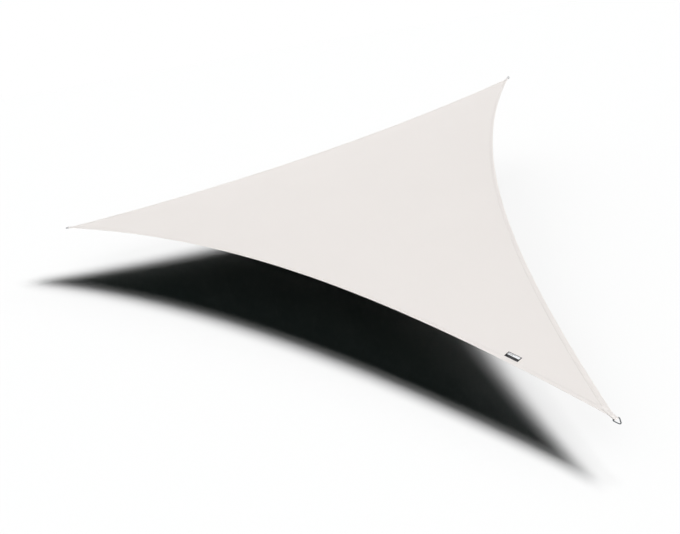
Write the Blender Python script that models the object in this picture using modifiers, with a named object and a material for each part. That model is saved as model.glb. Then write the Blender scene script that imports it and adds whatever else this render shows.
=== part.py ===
"""Triangular shade sail, as it hangs from its three corner rings.

The sail is modelled flat, its middle point at the origin and its normal up, and an empty then
turns it to its hung slope. Each corner has an empty of its own, with +X pointing out of the sail.
The finished part has its origin where a hook pulls on the high corner's ring, +X from the middle
corner towards the low one, +Y towards the high corner and +Z up.
"""

import math

import bmesh
import bpy
from mathutils import Matrix, Vector

# The sail, in metres
SIDE = 5.0               # corner to corner, each corner taken where its two edges would meet
EDGE_BOW = 0.306         # how far the middle of an edge curves in from the line between its corners
CLOTH_SAG = 0.030        # the middle of the cloth below the plane of its edges
CLOTH_THICK = 0.0012
DROP_MID = 0.536         # the middle corner below the high one, as hung
DROP_LOW = 0.769         # the low corner below the high one

# The hem, which holds a strip of webbing
HEM_WIDE = 0.025
HEM_THICK = 0.0032
HEM_STEP = 0.0015        # the slope from the cloth up to the hem
HEM_ROUND = 0.0015       # the rounded fold along the outer edge
FOLD_THICK = 0.0018      # thickness left at the very edge of the fold
TIP_CUT = 0.022          # how far short of its corner the cloth is cut off

# The corner rings and the webbing tabs that hold them
WIRE = 0.005
RING_INSIDE = 0.023      # clear width between the ends of the bar
RING_SIDES = 0.006       # how far its sides run straight out from the bar
RING_POINT = 0.032       # from the bar to where its slanted legs would meet
BAR_INSET = 0.011        # the bar's middle, inwards from the corner
BAR_RADIUS = 0.003       # bends of the wire's middle line: at the bar, at the shoulders, at the outer end
SHOULDER_RADIUS = 0.008
END_RADIUS = 0.006
RING_TILTS = {"mid": 0.0, "low": -12.0, "high": 35.0}   # its outer end up, in degrees
TAB_WIDE = 0.020
TAB_THICK = 0.0014
TAB_REACH = 0.080        # how far back from the corner the tab is sewn on

# The label, beside the hem of the edge from the middle to the low corner
LABEL_LONG = 0.075
LABEL_WIDE = 0.036
LABEL_THICK = 0.0008
LABEL_ALONG = 0.516      # its middle, from the low corner
LABEL_INSET = 0.046      # its middle, from the edge
LABEL_CORNER = 0.002

GAP = 0.0003             # between pieces that touch
FIELD_STEPS = 36         # facets of the cloth along each edge
BEND_STEPS = 6           # facets round each bend of the wire
LOOP_STEPS = 10          # facets round the tab's fold
WIRE_RESOLUTION = 3

RADIUS = SIDE / math.sqrt(3)
HEIGHT = SIDE * math.sqrt(3) / 2
CORNERS = {"mid": 210.0, "low": 330.0, "high": 90.0}   # direction of each corner, in degrees
EDGE_SLOPE = 4 * EDGE_BOW / SIDE                       # of an edge against its chord, at its ends
HALF_TIP = math.radians(30) - math.atan(EDGE_SLOPE)    # half the angle of a corner's tip


def clear_scene():
    for obj in list(bpy.data.objects):
        bpy.data.objects.remove(obj)


def material(name, color, roughness, metallic=0.0):
    made = bpy.data.materials.new(name)
    made.use_nodes = True
    shader = made.node_tree.nodes["Principled BSDF"]
    shader.inputs["Base Color"].default_value = (*color, 1.0)
    shader.inputs["Roughness"].default_value = roughness
    shader.inputs["Metallic"].default_value = metallic
    return made


def add_object(name, data, parts, parent, finish):
    obj = bpy.data.objects.new(name, data)
    parts.objects.link(obj)
    obj.parent = parent
    obj.data.materials.append(finish)
    return obj


def add_empty(name, parts, parent=None, matrix=None):
    empty = bpy.data.objects.new(name, None)
    parts.objects.link(empty)
    empty.parent = parent
    if matrix is not None:
        empty.matrix_local = matrix
    return empty


def outwards(direction):
    """Unit vector from the middle of the sail towards a corner."""
    angle = math.radians(direction)
    return Vector((math.cos(angle), math.sin(angle), 0))


# The cloth ------------------------------------------------------------------------------------


def hem_line():
    """Radius of the corners of the hem's sewn line, and how far that line curves in between them.

    The line runs HEM_WIDE inside the edge. It is again a parabola, a little flatter and raised,
    and two neighbouring lines meet where it crosses the line from the corner to the middle.
    """
    rise = HEM_WIDE * (1 + EDGE_SLOPE ** 2 / 2)
    bow = 4 * EDGE_BOW - 2 * HEM_WIDE * EDGE_SLOPE ** 2
    climb = SIDE * math.tan(math.radians(30)) - bow
    start = (math.sqrt(climb ** 2 + 4 * bow * rise) - climb) / (2 * bow)
    radius = RADIUS - start * SIDE / math.cos(math.radians(30))
    return radius, bow * (1 - 2 * start) ** 2 / 4


def field_point(shares):
    """Point of the cloth inside the hem line, for its shares of the three corners, which add up to 1."""
    radius, bow = hem_line()
    ways = [outwards(direction) for direction in CORNERS.values()]
    point = sum((way * radius * share for way, share in zip(ways, shares)), Vector())
    for i, way in enumerate(ways):
        point += way * 4 * bow * shares[i - 1] * shares[i - 2]
    point.z = -CLOTH_SAG * 27 * math.prod(shares)
    return point


def edge_shares(edge, along, inside=0.0):
    """Shares of a point part of the way from corner number edge to the next, and a little inside."""
    shares = [0.0, 0.0, 0.0]
    shares[edge] = (1 - along) * (1 - inside)
    shares[(edge + 1) % 3] = along * (1 - inside)
    shares[(edge + 2) % 3] = inside
    return shares


def hem_frame(edge, along):
    """Point on the hem line, with the directions along the edge and out over the hem."""
    step = 0.001
    here = field_point(edge_shares(edge, along))
    run = field_point(edge_shares(edge, along + step)) - field_point(edge_shares(edge, along - step))
    run.normalize()
    out = here - field_point(edge_shares(edge, along, step))
    out -= run * out.dot(run)
    return here, run, out.normalized()


def hem_point(edge, along, out):
    here, _, way = hem_frame(edge, along)
    return here + way * out


def corner_point(direction, inset, side=0.0):
    """Point at a distance inwards from a corner, and to one side of the line to the middle."""
    way = outwards(direction)
    return way * (RADIUS - inset) + Vector((-way.y, way.x, 0)) * side


def outline(bm, margin):
    """Closed loop of points at a margin inside the sail's outer edge, with its cut tips."""
    loop = []
    for edge, direction in enumerate(CORNERS.values()):
        inset = TIP_CUT + margin
        half = inset * math.tan(HALF_TIP) - margin / math.cos(HALF_TIP)
        tip = [corner_point(direction, inset, side) for side in (-half, half)]
        run = [hem_point(edge, k / FIELD_STEPS, HEM_WIDE - margin) for k in range(FIELD_STEPS + 1)]
        loop.append([bm.verts.new(point) for point in tip + run])
    return loop


def field_grid(bm):
    """The cloth inside the hem, as a grid of triangles. Returns its border, edge by edge."""
    n = FIELD_STEPS
    grid = {}
    for i in range(n + 1):
        for j in range(n + 1 - i):
            grid[i, j] = bm.verts.new(field_point([(n - i - j) / n, i / n, j / n]))
    for i in range(n):
        for j in range(n - i):
            bm.faces.new([grid[i, j], grid[i + 1, j], grid[i, j + 1]])
            if i + j < n - 1:
                bm.faces.new([grid[i + 1, j], grid[i + 1, j + 1], grid[i, j + 1]])
    return [
        [grid[k, 0] for k in range(n)],
        [grid[n - k, k] for k in range(n)],
        [grid[0, n - k] for k in range(n)],
    ]


def step_loop(bm):
    """Border of the hem's full thickness, mitred at the corners."""
    radius, _ = hem_line()
    loop = []
    for edge, direction in enumerate(CORNERS.values()):
        mitre = outwards(direction) * (radius + HEM_STEP / math.sin(HALF_TIP))
        run = [hem_point(edge, k / FIELD_STEPS, HEM_STEP) for k in range(1, FIELD_STEPS)]
        loop.append([bm.verts.new(point) for point in [mitre] + run])
    return loop


def bridge(bm, inner, outer):
    """Quads between two closed loops of as many points."""
    for i in range(len(inner)):
        bm.faces.new([inner[i - 1], outer[i - 1], outer[i], inner[i]])


def make_cloth(parts, plane, finish):
    bm = bmesh.new()
    border = field_grid(bm)
    step = step_loop(bm)
    shoulder = outline(bm, HEM_ROUND)
    rim = outline(bm, 0.0)
    bridge(bm, sum(border, []), sum(step, []))
    bridge(bm, sum(shoulder, []), sum(rim, []))
    for edge in range(3):
        inner = step[edge] + [step[(edge + 1) % 3][0]]
        outer = shoulder[edge][2:]
        for k in range(FIELD_STEPS):
            bm.faces.new([inner[k], outer[k], outer[k + 1], inner[k + 1]])
        bm.faces.new([inner[0], shoulder[edge - 1][-1], *shoulder[edge][:3]])
    bmesh.ops.recalc_face_normals(bm, faces=bm.faces)
    bm.verts.index_update()
    full = [v.index for loop in step + shoulder for v in loop]
    fold = [v.index for loop in rim for v in loop]
    mesh = bpy.data.meshes.new("sail_cloth")
    bm.to_mesh(mesh)
    bm.free()
    cloth = add_object("sail_cloth", mesh, parts, plane, finish)
    thick = cloth.vertex_groups.new(name="thickness")
    thick.add(full, 1.0, "REPLACE")
    thick.add(fold, (FOLD_THICK - CLOTH_THICK) / (HEM_THICK - CLOTH_THICK), "REPLACE")
    solidify = cloth.modifiers.new("thickness", "SOLIDIFY")
    solidify.thickness = HEM_THICK
    solidify.offset = 0.0
    solidify.vertex_group = thick.name
    solidify.thickness_vertex_group = CLOTH_THICK / HEM_THICK
    return cloth


# The corner rings and tabs --------------------------------------------------------------------


def rounded_path(points, radii, steps):
    """Closed flat path through the given corners, each turned into an arc of its radius."""
    path = []
    for i, (corner, radius) in enumerate(zip(points, radii)):
        back = (points[i - 1] - corner).normalized()
        ahead = (points[(i + 1) % len(points)] - corner).normalized()
        half = back.angle(ahead) / 2
        centre = corner + (back + ahead).normalized() * radius / math.sin(half)
        start = corner + back * radius / math.tan(half) - centre
        turn = math.pi - 2 * half
        if back.cross(ahead).z > 0:
            turn = -turn
        for k in range(steps + 1):
            path.append(centre + Matrix.Rotation(turn * k / steps, 3, "Z") @ start)
    return path


def ring_path():
    """Middle line of the wire: the straight bar at 0, short sides, and slanted legs to a round end."""
    half = (RING_INSIDE + WIRE) / 2
    below = [Vector((0, -half, 0)), Vector((RING_SIDES, -half, 0))]
    above = [Vector((RING_SIDES, half, 0)), Vector((0, half, 0))]
    points = below + [Vector((RING_POINT, 0, 0))] + above
    radii = [BAR_RADIUS, SHOULDER_RADIUS, END_RADIUS, SHOULDER_RADIUS, BAR_RADIUS]
    return rounded_path(points, radii, BEND_STEPS)


def ring_place(tilt):
    """The ring in its corner, swung about its bar."""
    return Matrix.Translation((-BAR_INSET, 0, 0)) @ Matrix.Rotation(-math.radians(tilt), 4, "Y")


def make_ring(name, parts, corner, finish):
    curve = bpy.data.curves.new(name, "CURVE")
    curve.dimensions = "3D"
    curve.bevel_depth = WIRE / 2
    curve.bevel_resolution = WIRE_RESOLUTION
    path = ring_path()
    spline = curve.splines.new("POLY")
    spline.points.add(len(path) - 1)
    for point, place in zip(spline.points, path):
        point.co = (*place, 1.0)
    spline.use_cyclic_u = True
    ring = add_object(name, curve, parts, corner, finish)
    ring.matrix_local = ring_place(RING_TILTS[name.removeprefix("ring_")])
    return ring


def tab_path():
    """Middle line of the webbing from its side: out below the cloth, round the bar, back above."""
    leg = HEM_THICK / 2 + GAP + TAB_THICK / 2
    radius = WIRE / 2 + GAP + TAB_THICK / 2
    below = [(-TAB_REACH, -leg), (-TIP_CUT, -leg)]
    fold = []
    for k in range(LOOP_STEPS + 1):
        angle = math.radians(-100 + 200 * k / LOOP_STEPS)
        fold.append((-BAR_INSET + radius * math.cos(angle), radius * math.sin(angle)))
    above = [(x, -z) for x, z in reversed(below)]
    return below + fold + above


def make_tab(name, parts, corner, finish):
    bm = bmesh.new()
    strip = [
        [bm.verts.new((x, side * TAB_WIDE / 2, z)) for x, z in tab_path()]
        for side in (-1, 1)
    ]
    near, far = strip
    for k in range(len(near) - 1):
        bm.faces.new([near[k], near[k + 1], far[k + 1], far[k]])
    mesh = bpy.data.meshes.new(name)
    bm.to_mesh(mesh)
    bm.free()
    tab = add_object(name, mesh, parts, corner, finish)
    solidify = tab.modifiers.new("thickness", "SOLIDIFY")
    solidify.thickness = TAB_THICK
    solidify.offset = 0.0
    solidify.use_even_offset = True
    return tab


# The label ------------------------------------------------------------------------------------


def label_place():
    """Where the label lies on the cloth, its length along the hem and its normal up."""
    radius, _ = hem_line()
    chord = radius * math.sqrt(3)
    along = 1 - (LABEL_ALONG - (SIDE - chord) / 2) / chord
    here, run, out = hem_frame(0, along)
    normal = out.cross(run)
    if normal.z < 0:
        normal = -normal
    lift = CLOTH_THICK / 2 + GAP + LABEL_THICK / 2
    middle = here - out * (LABEL_INSET - HEM_WIDE) + normal * lift
    turn = Matrix((run, normal.cross(run), normal)).transposed()
    return Matrix.Translation(middle) @ turn.to_4x4()


def make_label(parts, plane, finish):
    bpy.ops.mesh.primitive_cube_add(size=1.0)
    label = bpy.context.active_object
    label.name = "label"
    label.data.name = "label"
    label.data.transform(Matrix.Diagonal((LABEL_LONG, LABEL_WIDE, LABEL_THICK, 1.0)))
    for holder in list(label.users_collection):
        holder.objects.unlink(label)
    parts.objects.link(label)
    label.parent = plane
    label.matrix_local = label_place()
    label.data.materials.append(finish)
    rounding = label.data.attributes.new("bevel_weight_edge", "FLOAT", "EDGE")
    for edge in label.data.edges:
        low, high = (label.data.vertices[i].co for i in edge.vertices)
        upright = abs(low.z - high.z) > LABEL_THICK / 2
        rounding.data[edge.index].value = 1.0 if upright else 0.0
    bevel = label.modifiers.new("corners", "BEVEL")
    bevel.limit_method = "WEIGHT"
    bevel.width = LABEL_CORNER
    bevel.segments = 3
    return label


# The whole ------------------------------------------------------------------------------------


def corner_place(direction):
    """A corner of the flat sail, with +X pointing out of it."""
    turn = Matrix.Rotation(math.radians(direction), 4, "Z")
    return Matrix.Translation(corner_point(direction, 0.0)) @ turn


def hung_plane():
    """Turns the flat sail to its slope and puts the pull on the high ring at the origin."""
    fall = math.asin((DROP_LOW - DROP_MID) / SIDE)
    rise = math.asin((DROP_LOW + DROP_MID) / 2 / HEIGHT / math.cos(fall))
    turn = Matrix.Rotation(fall, 4, "Y") @ Matrix.Rotation(rise, 4, "X")
    reach = max(point.x for point in ring_path()) - WIRE / 2
    ring = corner_place(CORNERS["high"]) @ ring_place(RING_TILTS["high"])
    pull = ring @ Vector((reach, 0, 0))
    return Matrix.Translation(-(turn @ pull)) @ turn


def main():
    clear_scene()
    parts = bpy.data.collections.new("shade_sail")
    bpy.context.scene.collection.children.link(parts)
    cloth = material("shade_cloth", (0.84, 0.80, 0.78), 0.85)
    webbing = material("webbing", (0.80, 0.78, 0.75), 0.75)
    steel = material("ring_steel", (0.35, 0.36, 0.38), 0.25, 1.0)
    woven = material("label_weave", (0.03, 0.03, 0.03), 0.6)

    plane = add_empty("sail_plane", parts, matrix=hung_plane())
    make_cloth(parts, plane, cloth)
    make_label(parts, plane, woven)
    for name, direction in CORNERS.items():
        corner = add_empty("corner_" + name, parts, plane, corner_place(direction))
        make_tab("tab_" + name, parts, corner, webbing)
        make_ring("ring_" + name, parts, corner, steel)
    bpy.context.view_layer.update()


main()
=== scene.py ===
"""Triangular shade sail: its cloth, sewing, webbing tabs, rings and label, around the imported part.

The sail is worked out flat, its middle at the origin and its normal up, and is then turned to the
slope in which it hangs. Every piece on it is made in those flat coordinates.
"""

import math

import bmesh
import bpy
import numpy as np
from bpy.props import FloatProperty, FloatVectorProperty, IntProperty, PointerProperty
from mathutils import Matrix, Vector


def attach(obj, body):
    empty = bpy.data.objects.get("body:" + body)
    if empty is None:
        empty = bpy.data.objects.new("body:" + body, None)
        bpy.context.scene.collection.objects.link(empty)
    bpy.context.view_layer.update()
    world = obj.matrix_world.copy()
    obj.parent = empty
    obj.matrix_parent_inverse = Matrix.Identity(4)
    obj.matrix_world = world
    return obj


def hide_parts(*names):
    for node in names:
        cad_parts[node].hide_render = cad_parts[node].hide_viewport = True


bl_info = {
    "name": "Triangular Shade Sail",
    "version": (1, 0, 0),
    "blender": (4, 5, 0),
    "location": "3D View > Sidebar > Sail",
    "description": "Makes a hung triangular shade sail with its hems, tabs, rings and label",
    "category": "Object",
}

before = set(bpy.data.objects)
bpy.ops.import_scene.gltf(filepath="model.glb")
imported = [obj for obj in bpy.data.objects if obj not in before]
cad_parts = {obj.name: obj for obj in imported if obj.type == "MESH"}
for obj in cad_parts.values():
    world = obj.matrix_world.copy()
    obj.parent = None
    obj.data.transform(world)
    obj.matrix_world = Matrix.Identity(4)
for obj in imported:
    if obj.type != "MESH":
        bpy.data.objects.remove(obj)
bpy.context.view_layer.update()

CORNERS = {"mid": 210.0, "low": 330.0, "high": 90.0}   # direction of each corner, in degrees
GAP = 0.0003                     # between pieces that touch
SEAM_GROOVE = 0.00014            # how deep the hem's seams are pulled into it
TINY = 1e-6                      # points this near are one, and nothing is divided by less
FLAT_MAP = "flat"                # UV map with each point's place on its flat piece, in metres
SOFT, STEEL = "soft_pieces", "steel_pieces"   # collections with lights of their own
SMOOTH_ANGLE = math.radians(38)


# Settings --------------------------------------------------------------------------------------


def length(name, description, default):
    return FloatProperty(
        name=name, description=description, default=default, unit="LENGTH", precision=4
    )


def angle(name, description, degrees):
    return FloatProperty(
        name=name, description=description, default=math.radians(degrees), subtype="ANGLE"
    )


def color(name, description, default):
    return FloatVectorProperty(
        name=name, description=description, default=default, subtype="COLOR", min=0.0, max=1.0
    )


class SailClothSettings(bpy.types.PropertyGroup):
    side: length("Side", "Corner to corner, each where its two edges would meet", 5.0)
    bow: length("Edge Bow", "How far the middle of an edge curves in", 0.306)
    sag: length("Sag", "The middle of the cloth below the plane of its edges", 0.030)
    thick: length("Cloth Thickness", "Thickness of the knitted cloth", 0.0012)
    drop_mid: length("Middle Drop", "The middle corner below the high one", 0.536)
    drop_low: length("Low Drop", "The low corner below the high one", 0.769)
    hem: length("Hem Width", "From the outer fold to the hem's sewn line", 0.025)
    hem_thick: length("Hem Thickness", "Thickness of the folded hem", 0.0032)
    tip_cut: length("Tip Cut", "How far short of its corner the cloth ends", 0.022)
    crease: length("Crease Depth", "Depth of the tension creases 1 m from a corner", 0.0004)
    steps: IntProperty(name="Steps", description="Facets along each edge", default=150, min=12)
    color: color("Cloth Color", "Colour of the knitted cloth", (0.84, 0.80, 0.775))


class SailSewingSettings(bpy.types.PropertyGroup):
    long: length("Stitch Length", "Length of one stitch", 0.0046)
    pitch: length("Stitch Pitch", "From one stitch to the next", 0.0062)
    thick: length("Thread Thickness", "Thickness of the sewing thread", 0.0008)
    outer_row: length("Outer Row", "The outer seam, from the hem's outer fold", 0.017)
    inner_row: length("Inner Row", "The inner seam, from the hem's outer fold", 0.0215)
    color: color("Thread Color", "Colour of the sewing thread", (0.83, 0.79, 0.765))


class SailCornerSettings(bpy.types.PropertyGroup):
    tab_wide: length("Tab Width", "Width of the webbing", 0.020)
    tab_thick: length("Tab Thickness", "Thickness of the webbing", 0.0014)
    tab_reach: length("Tab Reach", "How far back from the corner the tab is sewn on", 0.080)
    wire: length("Wire", "Thickness of the ring's wire", 0.005)
    inside: length("Ring Inside", "Clear width between the ends of the bar", 0.023)
    sides: length("Ring Sides", "How far the sides run straight out from the bar", 0.006)
    point: length("Ring Point", "From the bar to where the slanted legs would meet", 0.032)
    bar_inset: length("Bar Inset", "The bar's middle, inwards from the corner", 0.011)
    tilt_mid: angle("Middle Tilt", "The middle ring's outer end up", 0.0)
    tilt_low: angle("Low Tilt", "The low ring's outer end up", -12.0)
    tilt_high: angle("High Tilt", "The high ring's outer end up", 35.0)
    web_color: color("Webbing Color", "Colour of the tabs", (0.885, 0.845, 0.82))
    steel_color: color("Steel Color", "Colour of the rings", (0.40, 0.42, 0.45))


class SailLabelSettings(bpy.types.PropertyGroup):
    long: length("Label Length", "Along the hem", 0.075)
    wide: length("Label Width", "Across the hem", 0.036)
    thick: length("Label Thickness", "Thickness of the label", 0.0008)
    along: length("Label Place", "The label's middle, from the low corner", 0.516)
    inset: length("Label Inset", "The label's middle, from the edge", 0.046)
    dark: color("Label Ground", "Colour of the label's ground", (0.022, 0.022, 0.024))
    pale: color("Label Field", "Colour of the label's pale field", (0.86, 0.86, 0.88))
    mark: color("Label Bars", "Colour of the label's plain bars", (0.10, 0.10, 0.105))


class SailStageSettings(bpy.types.PropertyGroup):
    floor_drop: length("Floor Drop", "The floor below the high ring", 0.9414)
    floor: color("Floor Color", "Colour of the floor", (0.80, 0.80, 0.80))
    softness: angle("Shadow Softness", "Width of each light that casts the shadow", 10.6)
    place: FloatVectorProperty(
        name="Camera Place", description="Where the camera stands",
        default=(2.9556, -6.1770, 0.7998), subtype="TRANSLATION", unit="LENGTH", precision=4,
    )
    azimuth: angle("Camera Azimuth", "The way round the sail", 44.88)
    pitch: angle("Camera Pitch", "How far the camera looks down", 23.30)
    roll: angle("Camera Roll", "How far the camera leans over", 9.65)
    lens: FloatProperty(
        name="Lens", description="Focal length", default=28.93, unit="CAMERA", min=1.0
    )


SETTINGS = {
    "sail_cloth": SailClothSettings,
    "sail_sewing": SailSewingSettings,
    "sail_corner": SailCornerSettings,
    "sail_label": SailLabelSettings,
    "sail_stage": SailStageSettings,
}


def settings(name):
    return getattr(bpy.context.scene, name)


# Finishes --------------------------------------------------------------------------------------


class Finish:
    """A material with a Principled shader, and short calls that add nodes to it."""

    def __init__(self, name, base, roughness, **constants):
        self.material = bpy.data.materials.new(name)
        self.material.use_nodes = True
        self.tree = self.material.node_tree
        self.shader = self.tree.nodes["Principled BSDF"]
        self.base = tuple(base)
        self.material.diffuse_color = (*self.base, 1.0)
        self.shader.inputs["Base Color"].default_value = (*self.base, 1.0)
        self.shader.inputs["Roughness"].default_value = roughness
        for socket, value in constants.items():
            self.shader.inputs[socket.replace("_", " ")].default_value = value

    def feed(self, socket, value):
        if isinstance(value, bpy.types.NodeSocket):
            self.tree.links.new(value, socket)
        else:
            socket.default_value = value

    def add(self, kind, inputs=None, **options):
        node = self.tree.nodes.new(kind)
        for option, value in options.items():
            setattr(node, option, value)
        for socket, value in (inputs or {}).items():
            self.feed(node.inputs[socket], value)
        return node

    def maths(self, operation, *values):
        node = self.add("ShaderNodeMath", operation=operation)
        for socket, value in zip(node.inputs, values):
            self.feed(socket, value)
        return node.outputs[0]

    def noise(self, place, scale, detail=2.0):
        inputs = {"Vector": place, "Scale": scale, "Detail": detail}
        return self.add("ShaderNodeTexNoise", inputs).outputs["Fac"]

    def spread(self, value, low, high, start=0.0):
        """A value between a start and 1 put between two others."""
        inputs = {"Value": value, "From Min": start, "To Min": low, "To Max": high}
        return self.add("ShaderNodeMapRange", inputs).outputs["Result"]

    def ripple(self, distance, pitch):
        """A sine of a distance, repeating at a pitch."""
        return self.maths("SINE", self.maths("MULTIPLY", distance, 2 * math.pi / pitch))

    def parts(self, place):
        return self.add("ShaderNodeSeparateXYZ", {"Vector": place}).outputs

    def object_place(self):
        return self.add("ShaderNodeTexCoord").outputs["Object"]

    def flat_place(self):
        return self.add("ShaderNodeUVMap", uv_map=FLAT_MAP).outputs["UV"]

    def tint(self, factor):
        """The base colour, made lighter or darker by a factor that varies over the surface."""
        node = self.add("ShaderNodeVectorMath", operation="SCALE")
        node.inputs[0].default_value = self.base
        self.feed(node.inputs["Scale"], factor)
        self.feed(self.shader.inputs["Base Color"], node.outputs["Vector"])

    def relief(self, height, depth, strength):
        inputs = {"Height": height, "Distance": depth, "Strength": strength}
        node = self.add("ShaderNodeBump", inputs)
        self.feed(self.shader.inputs["Normal"], node.outputs["Normal"])


def knitted_finish(base):
    """Knitted cloth: chains of loops side by side, with tape zigzagging between them."""
    rib_pitch, loop_pitch, drift = 0.0028, 0.0024, 0.004
    finish = Finish("knitted_cloth", base, 0.82, Specular_IOR_Level=0.25)
    place = finish.flat_place()
    bend = finish.maths("MULTIPLY", finish.noise(place, scale=5.0), drift)
    x, y = finish.parts(place)[:2]
    x, y = finish.maths("ADD", x, bend), finish.maths("ADD", y, bend)
    between = finish.maths("ABSOLUTE", finish.ripple(x, 2 * rib_pitch))
    loops = finish.maths("MULTIPLY_ADD", finish.ripple(y, loop_pitch), 0.2, 0.8)
    chains = finish.maths("MULTIPLY", finish.maths("SUBTRACT", 1.0, between), loops)
    slant = finish.maths("ADD", y, finish.maths("PINGPONG", x, rib_pitch))
    tape = finish.maths("MULTIPLY_ADD", finish.ripple(slant, loop_pitch), 0.25, 0.3)
    height = finish.maths("MULTIPLY_ADD", between, tape, chains)
    finish.relief(height, depth=0.00022, strength=0.6)
    cloudy = finish.spread(finish.noise(place, scale=1.6, detail=4.0), low=0.985, high=1.015)
    # painted shade: the colour goes darker where the knit lies low, in the hollows and gaps between
    # its loops
    knit_hollow_shade = finish.spread(height, low=0.975, high=1.02)
    finish.tint(finish.maths("MULTIPLY", cloudy, knit_hollow_shade))
    return finish.material


def webbing_finish(base):
    """Woven webbing: slanting threads that turn back at every rib, and fine ones along it."""
    thread_pitch, rib, fine_pitch = 0.0012, 0.0025, 0.0006
    finish = Finish("woven_webbing", base, 0.7, Specular_IOR_Level=0.3)
    along, across = finish.parts(finish.flat_place())[:2]
    slant = finish.maths("ADD", along, finish.maths("PINGPONG", across, rib))
    fine = finish.maths("MULTIPLY_ADD", finish.ripple(across, fine_pitch), 0.12, 0.5)
    height = finish.maths("MULTIPLY_ADD", finish.ripple(slant, thread_pitch), 0.38, fine)
    finish.relief(height, depth=0.00012, strength=0.7)
    patches = finish.noise(finish.object_place(), scale=60.0, detail=3.0)
    worn = finish.spread(patches, low=0.96, high=1.03)
    # random worn patches, and painted shade: darker where the threads lie low
    finish.tint(finish.maths("MULTIPLY", worn, finish.spread(height, low=0.95, high=1.03)))
    return finish.material


def thread_finish(name, base):
    """Sewing thread, a little uneven from stitch to stitch."""
    finish = Finish(name, base, 0.55, Specular_IOR_Level=0.35)
    uneven = finish.noise(finish.object_place(), scale=900.0, detail=1.0)
    finish.tint(finish.spread(uneven, low=0.85, high=1.12))
    return finish.material


def steel_finish(base):
    """Bent steel wire, satin, with fine marks and a little uneven in its shine."""
    finish = Finish("ring_steel", base, 0.3, Metallic=1.0)
    place = finish.object_place()
    patches = finish.noise(place, scale=260.0, detail=3.0)
    dull = finish.spread(patches, low=0.2, high=0.42)
    finish.feed(finish.shader.inputs["Roughness"], dull)
    finish.tint(finish.spread(finish.noise(place, scale=90.0), low=0.85, high=1.12))
    finish.relief(finish.noise(place, scale=1500.0), depth=0.00003, strength=0.4)
    return finish.material


def label_finish(name, base, roughness, thread_pitch):
    """Closely woven ribbon."""
    finish = Finish(name, base, roughness, Specular_IOR_Level=0.3)
    x, y = finish.parts(finish.flat_place())[:2]
    weave = finish.maths(
        "MULTIPLY", finish.ripple(x, thread_pitch), finish.ripple(y, thread_pitch)
    )
    height = finish.maths("MULTIPLY_ADD", weave, 0.5, 0.5)
    finish.relief(height, depth=0.00005, strength=0.6)
    # painted shade: darker where the threads lie low
    finish.tint(finish.spread(height, low=0.9, high=1.06))
    return finish.material


# The flat sail ---------------------------------------------------------------------------------


def unit(vectors):
    return vectors / np.linalg.norm(vectors, axis=-1, keepdims=True)


def outwards(direction):
    """Unit vector from the middle of the sail towards a corner."""
    return np.array([math.cos(math.radians(direction)), math.sin(math.radians(direction)), 0.0])


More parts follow.
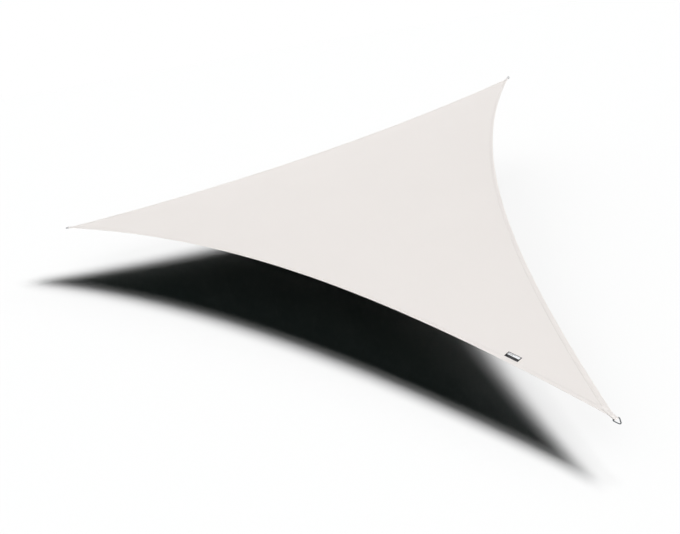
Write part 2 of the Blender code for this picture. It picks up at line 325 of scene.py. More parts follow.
class FlatSail:
    """Where the flat sail's corners, hem line and cloth are, worked out from its sizes."""

    CREASES = (   # waves between two edges, weight, phase
        (3.0, 1.0, 0.4),
        (5.0, 0.7, 1.9),
        (8.0, 0.35, 0.9),
    )
    CREASE_TURN = 1.7         # phase from one corner to the next, so that they differ
    CREASE_REACH = 0.17       # share of the height in which the creases fade
    CLOSER = 1.3              # draws the grid's lines towards the edges and corners

    def __init__(self):
        size = settings("sail_cloth")
        self.size = size
        self.radius = size.side / math.sqrt(3)
        self.height = size.side * math.sqrt(3) / 2
        self.ways = np.array([outwards(direction) for direction in CORNERS.values()])
        slope = 4 * size.bow / size.side
        self.half_tip = math.radians(30) - math.atan(slope)
        # The hem line is each edge moved in by the hem's width, and starts where two of them meet.
        rise = size.hem * (1 + slope ** 2 / 2)
        bow = 4 * size.bow - 2 * size.hem * slope ** 2
        climb = size.side * math.tan(math.radians(30)) - bow
        start = (math.sqrt(climb ** 2 + 4 * bow * rise) - climb) / (2 * bow)
        self.hem_radius = self.radius - start * size.side / math.cos(math.radians(30))
        self.hem_bow = bow * (1 - 2 * start) ** 2 / 4

    def creases(self, shares):
        """Height of the fine tension creases that fan out from each corner."""
        total = np.zeros(shares.shape[:-1])
        for corner in range(3):
            off = 1 - shares[..., corner]
            across = (shares[..., corner - 2] - shares[..., corner - 1]) / np.maximum(off, TINY)
            across = across.clip(-1, 1)
            fan = sum(
                weight * np.sin(math.pi * waves * across + phase + self.CREASE_TURN * corner)
                for waves, weight, phase in self.CREASES
            )
            fade = off * self.height * np.exp(-((off / self.CREASE_REACH) ** 2))
            total += self.size.crease * fade * (1 - across ** 2) ** 2 * fan
        return total

    def cloth(self, shares):
        """Points of the cloth inside the hem line, for their shares of the three corners."""
        points = self.hem_radius * (shares @ self.ways)
        for i, way in enumerate(self.ways):
            both = shares[..., i - 1] * shares[..., i - 2]
            points = points + 4 * self.hem_bow * both[..., None] * way
        hollow = 27 * shares.prod(axis=-1)   # 1 in the middle
        points[..., 2] = self.creases(shares) - self.size.sag * hollow
        return points

    def spaced_shares(self, shares):
        drawn = np.asarray(shares, float) ** self.CLOSER
        return drawn / drawn.sum(axis=-1, keepdims=True)

    def hem_frames(self, edge, along):
        """Points on an edge's hem line, with the directions along it, out over the hem and up."""
        along = np.asarray(along, float)
        step = 0.001

        def shares(places, inside=0.0):
            made = np.zeros((len(places), 3))
            made[:, edge] = (1 - places) * (1 - inside)
            made[:, (edge + 1) % 3] = places * (1 - inside)
            made[:, (edge + 2) % 3] = inside
            return made

        here = self.cloth(shares(along))
        run = unit(self.cloth(shares(along + step)) - self.cloth(shares(along - step)))
        out = here - self.cloth(shares(along, step))
        out = unit(out - run * (out * run).sum(axis=1, keepdims=True))
        return here, run, out, np.cross(out, run)

    def corner_point(self, direction, inset, aside=0.0, up=0.0):
        """Point at a distance inwards from a corner, to one side and above the cloth's middle."""
        way = outwards(direction)
        return way * (self.radius - inset) + np.array([-way[1] * aside, way[0] * aside, up])

    def hem_loop(self, margin, up):
        """Closed line round the sail at a margin inside its outer fold and a height."""
        size = self.size
        along = self.spaced_shares([(size.steps - k, k) for k in range(size.steps + 1)])[:, 1]
        mitre_inset = self.radius - self.hem_radius - (size.hem - margin) / math.sin(self.half_tip)
        inset = size.tip_cut + margin
        half = inset * math.tan(self.half_tip) - margin / math.cos(self.half_tip)
        if half <= 0:   # the two edges meet before they reach the cut
            inset, half = mitre_inset, 0.0
        loop = []
        for edge, direction in enumerate(CORNERS.values()):
            here, _, out, _ = self.hem_frames(edge, along)
            for aside in (-half, half):
                loop.append(self.corner_point(direction, inset, aside, up))
            loop.extend(here + out * (size.hem - margin) + (0.0, 0.0, up))
        return loop

    def corner_place(self, direction):
        """A corner of the flat sail, +X pointing out of it."""
        turn = Matrix.Rotation(math.radians(direction), 4, "Z")
        return Matrix.Translation(self.corner_point(direction, 0.0)) @ turn

    def hung(self):
        """Turns the flat sail to its slope and puts the pull on the high ring at the origin."""
        size = self.size
        fall = math.asin((size.drop_low - size.drop_mid) / size.side)
        mean_drop = (size.drop_low + size.drop_mid) / 2
        rise = math.asin(mean_drop / self.height / math.cos(fall))
        turn = Matrix.Rotation(fall, 4, "Y") @ Matrix.Rotation(rise, 4, "X")
        reach = max(point.x for point in ring_line()) - settings("sail_corner").wire / 2
        pull = self.corner_place(CORNERS["high"]) @ ring_place("high") @ Vector((reach, 0, 0))
        return Matrix.Translation(-(turn @ pull)) @ turn


# Making pieces ---------------------------------------------------------------------------------


def collection(name):
    if name not in bpy.data.collections:
        bpy.context.scene.collection.children.link(bpy.data.collections.new(name))
    return bpy.data.collections[name]


def keep_flat_places(mesh):
    """Keeps each point's place on the flat piece, in metres, as a UV map for its finish."""
    places = np.empty(3 * len(mesh.vertices))
    mesh.vertices.foreach_get("co", places)
    corners = np.empty(len(mesh.loops), int)
    mesh.loops.foreach_get("vertex_index", corners)
    flat = mesh.uv_layers.new(name=FLAT_MAP)
    flat.data.foreach_set("uv", places.reshape(-1, 3)[corners, :2].ravel())


def add_piece(name, mesh, place, finish, node=None, slot=None, round_all_over=False):
    """A piece of the sail that rides on its one body, and may stand for a node of the frame."""
    piece = bpy.data.objects.new(name, mesh)
    collection(STEEL if slot == "ring_steel" else SOFT).objects.link(piece)
    if FLAT_MAP not in mesh.uv_layers:
        keep_flat_places(mesh)
    mesh.transform(place)
    mesh.materials.append(finish)
    mesh.shade_smooth()
    if not round_all_over:
        mesh.set_sharp_from_angle(angle=SMOOTH_ANGLE)
    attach(piece, "root")
    if node:
        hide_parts(node)
    return piece


def finished_mesh(name, bm):
    bmesh.ops.recalc_face_normals(bm, faces=bm.faces)
    mesh = bpy.data.meshes.new(name)
    bm.to_mesh(mesh)
    bm.free()
    return mesh


def bridge(bm, loops, closed=False):
    """Quads between neighbouring closed loops of as many points."""
    pairs = list(zip(loops, loops[1:] + loops[:1] if closed else loops[1:]))
    for first, second in pairs:
        for i in range(len(first)):
            bm.faces.new([first[i - 1], second[i - 1], second[i], first[i]])


def distances(line):
    """How far along a line each of its points is."""
    return np.concatenate([[0], np.cumsum(np.linalg.norm(np.diff(line, axis=0), axis=1))])


def read_at(places, gone, values):
    """Values that are known at some distances along a line, read at other ones."""
    return np.stack([np.interp(places, gone, column) for column in values.T], axis=1)


def evenly(line, step):
    """A line again, with points about a step apart, as an array."""
    line = np.asarray(line, float)
    gone = distances(line)
    places = np.linspace(0, gone[-1], max(2, round(gone[-1] / step) + 1))
    return read_at(places, gone, line)


# The cloth -------------------------------------------------------------------------------------


def hem_profile(size):
    """Section of the hem, from the top of its sewn line round the outer fold to the underside.

    Each point is its margin inside the outer fold and its height above the cloth's middle.
    """
    cloth, full = size.thick / 2, size.hem_thick / 2
    step_up = (0.0006, 0.3), (0.0013, 0.85), (0.0021, 1.0)   # past the sewn line, share of rise
    half_groove, crown = 0.0007, 0.0001
    fold, fold_steps = 0.0026, 5
    sewn_down = [(size.hem, cloth)]
    sewn_down += [(size.hem - past, cloth + share * (full - cloth)) for past, share in step_up]
    face = []
    for seam in (settings("sail_sewing").inner_row, settings("sail_sewing").outer_row):
        face += [(seam + half_groove, full), (seam, full - SEAM_GROOVE)]
        face += [(seam - half_groove, full), (seam - 2.2 * half_groove, full + crown / 2)]
    face += [(0.011, full + crown), (0.005, full + crown / 2)]
    for k in range(fold_steps + 1):
        turn = math.radians(90 * k / fold_steps)
        face.append((fold * (1 - math.sin(turn)), full * math.cos(turn)))
    under = [(margin, -up) for margin, up in reversed(face[:-1])]
    flap = size.hem - 0.0004   # the turned-in edge, a little short of the sewn line
    under += [(flap, -full), (flap + 0.0002, -full + 0.0003), (flap + 0.0003, -cloth - 0.0001)]
    return sewn_down + face, under + [(size.hem, -cloth)]


def field(bm, sail, up, under):
    """The cloth inside the hem, as a grid of triangles, on one of its sides."""
    n = sail.size.steps
    corners = [(i, j) for i in range(n + 1) for j in range(n + 1 - i)]
    points = sail.cloth(sail.spaced_shares([(n - i - j, i, j) for i, j in corners]))
    points[:, 2] += up
    grid = {corner: bm.verts.new(point) for corner, point in zip(corners, points)}
    for i in range(n):
        for j in range(n - i):
            faces = [[grid[i, j], grid[i + 1, j], grid[i, j + 1]]]
            if i + j < n - 1:
                faces.append([grid[i + 1, j], grid[i + 1, j + 1], grid[i, j + 1]])
            for face in faces:
                bm.faces.new(face[::-1] if under else face)


def cloth_mesh(sail):
    """Both sides of the cloth, joined round the outside by the folded hem."""
    bm = bmesh.new()
    cloth = sail.size.thick / 2
    field(bm, sail, cloth, False)
    field(bm, sail, -cloth, True)
    top, under = hem_profile(sail.size)
    loops = [[bm.verts.new(point) for point in sail.hem_loop(*place)] for place in top + under]
    bridge(bm, loops)
    bmesh.ops.remove_doubles(bm, verts=bm.verts, dist=TINY)
    return finished_mesh("sail_fabric", bm)


class SAIL_OT_make_cloth(bpy.types.Operator):
    """Makes the knitted cloth with its folded hem"""

    bl_idname = "sail.make_cloth"
    bl_label = "Make Cloth"

    def execute(self, context):
        sail = FlatSail()
        finish = knitted_finish(sail.size.color)
        add_piece("sail_fabric", cloth_mesh(sail), sail.hung(), finish, "sail_cloth", "cloth")
        return {"FINISHED"}


# Sewing ----------------------------------------------------------------------------------------


def stitches_mesh(name, middles, runs, ups, long, thick):
    """Stitches lying along their rows, each a short length of thread that dips at both ends."""
    sides = 6
    tips = (-0.5, -0.7), (0.5, -0.7)   # place along, in stitches; height, in threads
    rings = (                          # place along, in stitches; radius and height, in threads
        (-0.33, 0.38, -0.08),
        (0.0, 0.5, 0.06),
        (0.33, 0.38, -0.08),
    )
    asides = np.cross(ups, runs)
    points = []

    def add_point(place, rise, wide=0.0, high=0.0):
        height = thick * (rise + high)
        points.append(middles + runs * place * long + asides * wide * thick + ups * height)

    add_point(*tips[0])
    for place, radius, rise in rings:
        for k in range(sides):
            turn = 2 * math.pi * k / sides
            add_point(place, rise, radius * math.cos(turn), radius * math.sin(turn))
    add_point(*tips[1])
    points = np.stack(points, axis=1)
    count = points.shape[1]
    one = []   # the faces of one stitch
    for k in range(sides):
        a, b = 1 + k, 1 + (k + 1) % sides
        one.append((0, b, a))
        for ring in range(len(rings) - 1):
            skip = ring * sides
            one.append((a + skip, b + skip, b + skip + sides, a + skip + sides))
        last = (len(rings) - 1) * sides
        one.append((count - 1, a + last, b + last))
    faces = [
        tuple(corner + count * stitch for corner in face)
        for stitch in range(len(middles))
        for face in one
    ]
    mesh = bpy.data.meshes.new(name)
    mesh.from_pydata(points.reshape(-1, 3).tolist(), [], faces)
    return mesh


def seam_places(line, ups, long, pitch):
    """Middles, directions and normals of the stitches along a line of points."""
    gone = distances(line)
    count = int((gone[-1] - long) // pitch) + 1
    first = (gone[-1] - (count - 1) * pitch) / 2
    places = first + pitch * np.arange(count)
    start, end = (read_at(places + side * long / 2, gone, line) for side in (-1, 1))
    return (start + end) / 2, unit(end - start), unit(read_at(places, gone, ups))


def add_stitches(name, seams, long, thick, place, thread, slot="webbing"):
    mesh = stitches_mesh(name, *seams, long, thick)
    return add_piece(name, mesh, place, thread, slot=slot, round_all_over=True)


def joined(seams):
    """The stitches of several seams as one set of middles, directions and normals."""
    return [np.concatenate(column) for column in zip(*seams)]


def flat_seams(lines, height, side, long, pitch):
    """Stitches along flat lines at a height, on the top (side 1) or underneath (side -1)."""
    ups = np.array([(0.0, 0.0, side)] * 2)
    ends = (np.array([(*start, height), (*end, height)]) for start, end in lines)
    return joined(seam_places(line, ups, long, pitch) for line in ends)


def hem_seams(sail, side):
    """The two seams along each edge, on the top (side 1) or underneath (side -1)."""
    sewing = settings("sail_sewing")
    sunk = SEAM_GROOVE - 0.30 * sewing.thick
    lift = sail.size.hem_thick / 2 - sunk
    along = np.linspace(0, 1, 800)
    found = []
    for edge in range(len(CORNERS)):
        here, _, out, normal = sail.hem_frames(edge, along)
        for margin in (sewing.inner_row, sewing.outer_row):
            line = here + out * (sail.size.hem - margin) + normal * lift * side
            found.append(seam_places(line, normal * side, sewing.long, sewing.pitch))
    return joined(found)


class SAIL_OT_sew_hems(bpy.types.Operator):
    """Sews the two seams of every hem, on both sides of the cloth"""

    bl_idname = "sail.sew_hems"
    bl_label = "Sew Hems"

    def execute(self, context):
        sail = FlatSail()
        sewing = settings("sail_sewing")
        thread = thread_finish("hem_thread", sewing.color)
        for name, side in (("hem_stitches_top", 1), ("hem_stitches_under", -1)):
            seams = hem_seams(sail, side)
            add_stitches(name, seams, sewing.long, sewing.thick, sail.hung(), thread)
        return {"FINISHED"}


# Rings -----------------------------------------------------------------------------------------


def rounded_line(points, radii, steps):
    """Closed flat line through the given corners, each turned into an arc of its radius."""
    line = []
    for i, (corner, radius) in enumerate(zip(points, radii)):
        back = (points[i - 1] - corner).normalized()
        ahead = (points[(i + 1) % len(points)] - corner).normalized()
        half = back.angle(ahead) / 2
        centre = corner + (back + ahead).normalized() * radius / math.sin(half)
        start = corner + back * radius / math.tan(half) - centre
        turn = math.pi - 2 * half
        if back.cross(ahead).z > 0:
            turn = -turn
        for k in range(steps + 1):
            line.append(centre + Matrix.Rotation(turn * k / steps, 3, "Z") @ start)
    return line


def ring_line():
    """Middle line of the wire: the bar at 0, short sides, and slanted legs to a round end."""
    size = settings("sail_corner")
    half = (size.inside + size.wire) / 2
    bar_bend, shoulder, end_bend, steps = 0.003, 0.008, 0.006, 12
    below = [Vector((0, -half, 0)), Vector((size.sides, -half, 0))]
    above = [Vector((size.sides, half, 0)), Vector((0, half, 0))]
    points = below + [Vector((size.point, 0, 0))] + above
    return rounded_line(points, [bar_bend, shoulder, end_bend, shoulder, bar_bend], steps)


def ring_place(name):
    """The ring in its corner, swung about its bar."""
    size = settings("sail_corner")
    tilt = getattr(size, "tilt_" + name)
    return Matrix.Translation((-size.bar_inset, 0, 0)) @ Matrix.Rotation(-tilt, 4, "Y")


def ring_mesh(name):
    """The wire swept round its line, a little thicker where its ends are welded together."""
    size = settings("sail_corner")
    sides, weld_high, weld_long = 20, 0.00028, 0.0016
    weld_out, weld_aside = 0.010, 0.0085   # on a slanted leg
    line = ring_line()
    line = evenly([tuple(point) for point in line + line[:1]], step=0.0006)[:-1]
    weld = np.array([size.sides + weld_out, weld_aside, 0.0])
    bm = bmesh.new()
    loops = []
    for i, point in enumerate(line):
        ahead = unit(line[(i + 1) % len(line)] - line[i - 1])
        aside = np.array([-ahead[1], ahead[0], 0.0])
        away = np.linalg.norm(point - weld)
        radius = size.wire / 2 + weld_high * math.exp(-((away / weld_long) ** 4))
        loop = []
        for k in range(sides):
            turn = 2 * math.pi * k / sides
            offset = aside * math.cos(turn) + np.array([0.0, 0.0, math.sin(turn)])
            loop.append(bm.verts.new(point + radius * offset))
        loops.append(loop)
    bridge(bm, loops, closed=True)
    return finished_mesh(name, bm)


class SAIL_OT_make_rings(bpy.types.Operator):
    """Makes the steel ring of each corner"""

    bl_idname = "sail.make_rings"
    bl_label = "Make Rings"

    def execute(self, context):
        sail = FlatSail()
        steel = steel_finish(settings("sail_corner").steel_color)
        for name, direction in CORNERS.items():
            place = sail.hung() @ sail.corner_place(direction) @ ring_place(name)
            mesh = ring_mesh("steel_ring_" + name)
            add_piece("steel_ring_" + name, mesh, place, steel, "ring_" + name, "ring_steel")
        return {"FINISHED"}


# Tabs ------------------------------------------------------------------------------------------


def eased(start, way_in, end, way_out, steps):
    """Points of a smooth bend between two places, without its ends."""
    start, end = np.array(start), np.array(end)
    pull = np.linalg.norm(end - start)
    way_in, way_out = unit(np.array(way_in)) * pull, unit(np.array(way_out)) * pull
    line = []
    for k in range(1, steps):
        t = k / steps
        line.append(
            start * (2 * t ** 3 - 3 * t ** 2 + 1) + end * (3 * t ** 2 - 2 * t ** 3)
            + way_in * (t ** 3 - 2 * t ** 2 + t) + way_out * (t ** 3 - t ** 2)
        )
    return line


def tab_leg():
    """Height of the webbing's middle line where it lies on the hem."""
    return settings("sail_cloth").hem_thick / 2 + GAP + settings("sail_corner").tab_thick / 2


def tab_line():
    """Middle line of the webbing from its side: out below the cloth, round the bar, back above."""
    size = settings("sail_corner")
    leg = tab_leg()
    radius = size.wire / 2 + GAP + size.tab_thick / 2
    wrap, steps = math.radians(100), 24    # how far round the bar from its outer side, each way
    flat_end = -settings("sail_cloth").tip_cut - 0.003
    fold = []
    for k in range(steps + 1):
        turn = wrap * (2 * k / steps - 1)
        fold.append((-size.bar_inset + radius * math.cos(turn), radius * math.sin(turn)))
    bend = eased((flat_end, -leg), (1, 0), fold[0], (math.sin(wrap), math.cos(wrap)), 8)
    lower = [(-size.tab_reach, -leg), (flat_end, -leg)] + [tuple(point) for point in bend]
    return lower + fold + [(x, -z) for x, z in reversed(lower)]


def webbing_section():
    """Section of the webbing, its two faces ribbed along their length and its sides round."""
    size = settings("sail_corner")
    ribs, points_a_rib, depth, side = 7, 4, 0.00011, 0.0007
    half, thin = size.tab_wide / 2, size.tab_thick / 2
    face = []
    count = ribs * points_a_rib
    for k in range(count + 1):
        share = k / count
        groove = depth * (1 + math.cos(2 * math.pi * ribs * share)) / 2
        face.append((-half + side + 2 * (half - side) * share, thin - groove))
    end = [
        (half - side + side * math.cos(t), (thin - depth) * math.sin(t))
        for t in (math.radians(50), 0.0, math.radians(-50))
    ]
    return face + end + [(-y, -z) for y, z in face + end]


def tab_mesh(name):
    """The webbing swept along its line, with each point's place on the flat strip."""
    line = evenly(tab_line(), step=0.0012)
    section = webbing_section()
    bm = bmesh.new()
    flat = bm.loops.layers.uv.new(FLAT_MAP)
    along = distances(line)
    loops = []
    where = {}
    for i, (x, z) in enumerate(line):
        ahead = unit(line[min(i + 1, len(line) - 1)] - line[max(i - 1, 0)])
        out = np.array([-ahead[1], ahead[0]])
        loop = []
        for aside, up in section:
            vert = bm.verts.new((x + out[0] * up, aside, z + out[1] * up))
            where[vert] = (along[i], aside)
            loop.append(vert)
        loops.append(loop)
    bridge(bm, loops)
    for loop in (loops[0], loops[-1]):
        bm.faces.new(loop)
    for face in bm.faces:
        for corner in face.loops:
            corner[flat].uv = where[corner.vert]
    return finished_mesh(name, bm)


def tab_seams(side):
    """The box and cross sewn through a tab, on the top (side 1) or underneath (side -1)."""
    size, sewing = settings("sail_corner"), settings("sail_sewing")
    from_end, from_side, front = 0.006, 0.0033, -0.031
    back, half = -size.tab_reach + from_end, size.tab_wide / 2 - from_side
    pitch = sewing.pitch * 0.66
    long = pitch * 0.76
    lift = side * (tab_leg() + size.tab_thick / 2 + 0.15 * sewing.thick)
    box = [(back, -half), (front, -half), (front, half), (back, half), (back, -half)]
    lines = list(zip(box, box[1:])) + [(box[0], box[2]), (box[1], box[3])]
    return flat_seams(lines, lift, side, long, pitch), long


class SAIL_OT_make_tabs(bpy.types.Operator):
    """Makes the webbing tab of each corner, folded round its ring and sewn through the sail"""

    bl_idname = "sail.make_tabs"
    bl_label = "Make Tabs"

    def execute(self, context):
        sail = FlatSail()
        size, sewing = settings("sail_corner"), settings("sail_sewing")
        webbing = webbing_finish(size.web_color)
        thread = thread_finish("tab_thread", sewing.color)
        thick = 0.9 * sewing.thick
        long = distances(tab_line())[-1]
        for name, direction in CORNERS.items():
            place = sail.hung() @ sail.corner_place(direction)
            mesh = tab_mesh("webbing_tab_" + name)
            tab = add_piece("webbing_tab_" + name, mesh, place, webbing, "tab_" + name, "webbing")
            for suffix, side in (("top", 1), ("under", -1)):
                title = f"tab_stitches_{name}_{suffix}"
                seams, stitch = tab_seams(side)
                add_stitches(title, seams, stitch, thick, place, thread)
        return {"FINISHED"}


# The label -------------------------------------------------------------------------------------


def label_place(sail):
    """Where the label lies on the cloth, its length along the first edge's hem, its normal up."""
    size = settings("sail_label")
    chord = sail.hem_radius * math.sqrt(3)
    along = 1 - (size.along - (sail.size.side - chord) / 2) / chord
    here, run, out, normal = (Vector(rows[0]) for rows in sail.hem_frames(0, [along]))
    lift = sail.size.thick / 2 + GAP
    middle = here - out * (size.inset - sail.size.hem) + normal * lift
    turn = Matrix((run, normal.cross(run), normal)).transposed()
    return Matrix.Translation(middle) @ turn.to_4x4()


def plate_mesh(name, plates, rounding, bevel=0.0):
    """Thin plates with round corners, each given by its box: x, y and z, from and to."""
    bm = bmesh.new()
    steps = 5
    for low_x, high_x, low_y, high_y, low_z, high_z in plates:
        centres = (   # of the rounding at each corner, and where its arc starts, in degrees
            (high_x - rounding, high_y - rounding, 0),
            (low_x + rounding, high_y - rounding, 90),
            (low_x + rounding, low_y + rounding, 180),
            (high_x - rounding, low_y + rounding, 270),
        )
        levels = [(low_z, rounding), (high_z - bevel, rounding), (high_z, rounding - bevel)]
        if not bevel:
            levels.pop()
        loops = []
        for z, radius in levels:
            loop = []
            for x, y, start in centres:
                for k in range(steps + 1):
                    turn = math.radians(start + 90 * k / steps)
                    place = (x + radius * math.cos(turn), y + radius * math.sin(turn), z)
                    loop.append(bm.verts.new(place))
            loops.append(loop)
        bridge(bm, loops)
        for loop in (loops[0], loops[-1]):
            bm.faces.new(loop)
    return finished_mesh(name, bm)


def label_seam():
    """Stitches round the label's border, with their length and the thread's thickness."""
    size = settings("sail_label")
    long, thick, pitch, margin = 0.0024, 0.0005, 0.0033, 0.0018
    x, y = size.long / 2 - margin, size.wide / 2 - margin
    box = [(-x, -y), (x, -y), (x, y), (-x, y), (-x, -y)]
    return flat_seams(zip(box, box[1:]), size.thick, 1, long, pitch), long, thick


class SAIL_OT_make_label(bpy.types.Operator):
    """Makes the two-tone label beside the hem, with a few plain bars"""

    bl_idname = "sail.make_label"
    bl_label = "Make Label"
    FIELD = (-0.08, 0.80)   # its two long sides, shares of half the width
    FIELD_MARGIN = 0.005    # from its ends to the label's
    BARS = (                # middle across, share of half the width; ends, shares of the length
        (0.58, ((-0.41, -0.27), (-0.23, -0.06), (-0.02, 0.09))),
        (0.26, ((-0.41, -0.31), (-0.27, -0.08))),
        (-0.56, ((-0.22, 0.14),)),
    )
    HALF_BAR = 0.055        # half a bar's width, share of half the label's
    FIELD_HIGH = 0.00006    # the field above the label's ground
    BAR_HIGH = 0.00011      # the bars above it

    def execute(self, context):
        sail = FlatSail()
        size = settings("sail_label")
        place = sail.hung() @ label_place(sail)
        dark = label_finish("label_ground", size.dark, roughness=0.6, thread_pitch=0.0007)
        pale = label_finish("label_field", size.pale, roughness=0.55, thread_pitch=0.0005)
        mark = label_finish("label_marks", size.mark, roughness=0.6, thread_pitch=0.0005)
        thread = thread_finish("label_thread", (0.05, 0.05, 0.052))
        x, y, top = size.long / 2, size.wide / 2, size.thick
        end, (low, high) = x - self.FIELD_MARGIN, self.FIELD
        outline = [(-x, x, -y, y, 0.0, top)]
        inside = [(-end, end, low * y, high * y, top - GAP, top + self.FIELD_HIGH)]
        bars = [
            (
                start * size.long, stop * size.long,
                (middle - self.HALF_BAR) * y, (middle + self.HALF_BAR) * y,
                top - GAP, top + self.BAR_HIGH,
            )
            for middle, shares in self.BARS
            for start, stop in shares
        ]
        ground = plate_mesh("sewn_label", outline, rounding=0.002, bevel=0.0003)
        ground = add_piece("sewn_label", ground, place, dark, "label", "label")
        field_mesh = plate_mesh("label_field", inside, rounding=0.0015)
        pale_field = add_piece("label_field", field_mesh, place, pale, slot="label")
        bar_mesh = plate_mesh("label_bars", bars, rounding=0.0004)
        bar_piece = add_piece("label_bars", bar_mesh, place, mark, slot="label")
        seam = add_stitches("label_stitches", *label_seam(), place, thread, slot="label")
        return {"FINISHED"}


# The stage -------------------------------------------------------------------------------------


def add_to_scene(name, data):
    made = bpy.data.objects.new(name, data)
    bpy.context.scene.collection.objects.link(made)
    return made


def first_light_only(light, bounces):
    """Keeps a light off surfaces seen only after more than so many soft bounces."""
    light.use_nodes = True
    tree = light.node_tree
    path = tree.nodes.new("ShaderNodeLightPath")
    near = tree.nodes.new("ShaderNodeMath")
    near.operation = "LESS_THAN"
    near.inputs[1].default_value = bounces + 0.5
    tree.links.new(path.outputs["Diffuse Depth"], near.inputs[0])
    tree.links.new(near.outputs[0], tree.nodes["Emission"].inputs["Strength"])
    light.cycles.use_multiple_importance_sampling = False


def add_sun(name, travel, energy, width, lit, bounces=0, blocked_by=None):
    """A far light that lights only one collection, given the way it travels."""
    light = bpy.data.lights.new(name, "SUN")
    light.energy = energy
    light.angle = width
    first_light_only(light, bounces)
    sun = add_to_scene(name, light)
    sun.rotation_mode = "QUATERNION"
    sun.rotation_quaternion = Vector(travel).to_track_quat("-Z", "Y")
    sun.light_linking.receiver_collection = lit
    if blocked_by:
        sun.light_linking.blocker_collection = blocked_by


def make_floor(stage):
    """A pale floor with painted shade near what is over it. Returns its collection."""
    reach = 90.0
    bpy.ops.mesh.primitive_plane_add(size=2 * reach, location=(0, 0, -stage.floor_drop))
    floor = bpy.context.active_object
    floor.name = floor.data.name = "floor"
    finish = Finish("floor", stage.floor, 1.0, Specular_IOR_Level=0.0)
    # painted shade: ambient occlusion darkens the floor's colour near the sail
    near = finish.add("ShaderNodeAmbientOcclusion", {"Distance": 6.0}, samples=8)
    finish.tint(finish.spread(near.outputs["AO"], low=0.93, high=1.0, start=0.72))
    floor.data.materials.append(finish.material)
    lit = collection("lit_floor")
    for holder in list(floor.users_collection):
        holder.objects.unlink(floor)
    lit.objects.link(floor)
    return lit


def make_backdrop():
    """White behind everything, faint cool light in the shadow, dark grey for steel to mirror."""
    shade, mirrored, behind = 0.0105, 0.05, 1.0
    cool, white = (0.72, 1.0, 0.93, 1.0), (1.0, 1.0, 1.0, 1.0)
    world = bpy.data.worlds.new("backdrop")
    bpy.context.scene.world = world
    world.use_nodes = True
    tree = world.node_tree
    light = tree.nodes["Background"].inputs
    path = tree.nodes.new("ShaderNodeLightPath").outputs
    tone = tree.nodes.new("ShaderNodeMixRGB")
    tree.links.new(path["Is Camera Ray"], tone.inputs["Fac"])
    tone.inputs["Color1"].default_value = cool
    tone.inputs["Color2"].default_value = white
    tree.links.new(tone.outputs["Color"], light["Color"])
    mixes = []
    for ray, level in (("Is Glossy Ray", mirrored), ("Is Camera Ray", behind)):
        mix = tree.nodes.new("ShaderNodeMix")
        tree.links.new(path[ray], mix.inputs["Factor"])
        mix.inputs["B"].default_value = level
        mixes.append(mix)
    mixes[0].inputs["A"].default_value = shade
    tree.links.new(mixes[0].outputs["Result"], mixes[1].inputs["A"])
    tree.links.new(mixes[1].outputs["Result"], light["Strength"])


def make_lights(stage, lit_floor):
    """A row of lights that cast the shadow on the floor, and others for the sail and its rings.

    The low fills pass through the cloth, so that its tabs and hems aren't lit from above alone.
    """
    soft, steel = collection(SOFT), collection(STEEL)
    key_way, down, low = (-0.12, -0.70, -1.0), -1.0, -0.25
    floor_row = (   # travel across and along the floor, energy
        (-0.56, -1.00, 0.46),
        (-0.48, -1.22, 1.62),
        (-0.20, -1.26, 2.56),
        (0.08, -1.30, 0.95),
        (0.31, -1.05, 0.44),
    )
    for k, (across, along, energy) in enumerate(floor_row, 1):
        way = (across, along, down)
        add_sun(f"floor_light_{k}", way, energy, stage.softness, lit_floor, bounces=1)
    fade_way, fade_width = (-0.10, -1.74, down), 2 * stage.softness
    add_sun("floor_fade", fade_way, 0.30, fade_width, lit_floor, bounces=1)
    add_sun("key_light", key_way, 1.15, math.radians(12), soft)
    add_sun("top_fill", (0.0, 0.0, down), 1.08, math.radians(120), soft)
    for k, way in enumerate(((1, 0), (0, 1), (-1, 0), (0, -1)), 1):
        way = (*way, low)
        add_sun(f"side_fill_{k}", way, 0.55, math.radians(90), soft, blocked_by=steel)
    add_sun("front_fill", (-0.6, 0.8, low), 1.3, math.radians(60), soft, blocked_by=steel)
    add_sun("steel_light", key_way, 0.35, math.radians(30), steel)


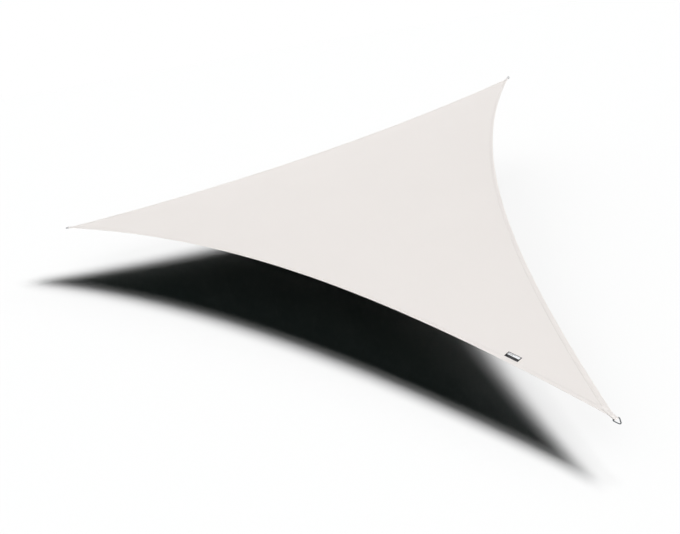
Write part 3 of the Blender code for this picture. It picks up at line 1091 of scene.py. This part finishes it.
def make_camera(stage):
    camera = add_to_scene("camera", bpy.data.cameras.new("camera"))
    camera.data.sensor_width = 36.0
    camera.data.lens = stage.lens
    camera.data.clip_end = 300.0
    camera.location = stage.place
    turn = Matrix.Rotation(stage.azimuth, 3, "Z")
    turn = turn @ Matrix.Rotation(math.radians(90) - stage.pitch, 3, "X")
    turn = turn @ Matrix.Rotation(-stage.roll, 3, "Z")
    camera.rotation_euler = turn.to_euler()
    bpy.context.scene.camera = camera


class SAIL_OT_make_stage(bpy.types.Operator):
    """Makes the floor, the white backdrop, the lights and the camera"""

    bl_idname = "sail.make_stage"
    bl_label = "Make Stage"

    def execute(self, context):
        stage = settings("sail_stage")
        lit_floor = make_floor(stage)
        make_backdrop()
        make_lights(stage, lit_floor)
        make_camera(stage)
        context.scene.view_settings.view_transform = "Standard"
        return {"FINISHED"}


# Running ---------------------------------------------------------------------------------------


OPERATORS = (
    SAIL_OT_make_cloth,
    SAIL_OT_sew_hems,
    SAIL_OT_make_rings,
    SAIL_OT_make_tabs,
    SAIL_OT_make_label,
    SAIL_OT_make_stage,
)


class SAIL_PT_panel(bpy.types.Panel):
    """Sizes and colours of the sail, and a button for each group of pieces"""

    bl_idname = "SAIL_PT_panel"
    bl_label = "Shade Sail"
    bl_space_type = "VIEW_3D"
    bl_region_type = "UI"
    bl_category = "Sail"

    def draw(self, context):
        for name, group in SETTINGS.items():
            box = self.layout.box()
            for prop in group.__annotations__:
                box.prop(getattr(context.scene, name), prop)
        for operator in OPERATORS:
            self.layout.operator(operator.bl_idname)


def register():
    for group in (*SETTINGS.values(), *OPERATORS, SAIL_PT_panel):
        bpy.utils.register_class(group)
    for name, group in SETTINGS.items():
        setattr(bpy.types.Scene, name, PointerProperty(type=group))


def unregister():
    for name in SETTINGS:
        delattr(bpy.types.Scene, name)
    for group in reversed((*SETTINGS.values(), *OPERATORS, SAIL_PT_panel)):
        bpy.utils.unregister_class(group)


def main():
    register()
    bpy.ops.sail.make_cloth()
    bpy.ops.sail.sew_hems()
    bpy.ops.sail.make_rings()
    bpy.ops.sail.make_tabs()
    bpy.ops.sail.make_label()
    bpy.ops.sail.make_stage()


if __name__ == "__main__":
    main()
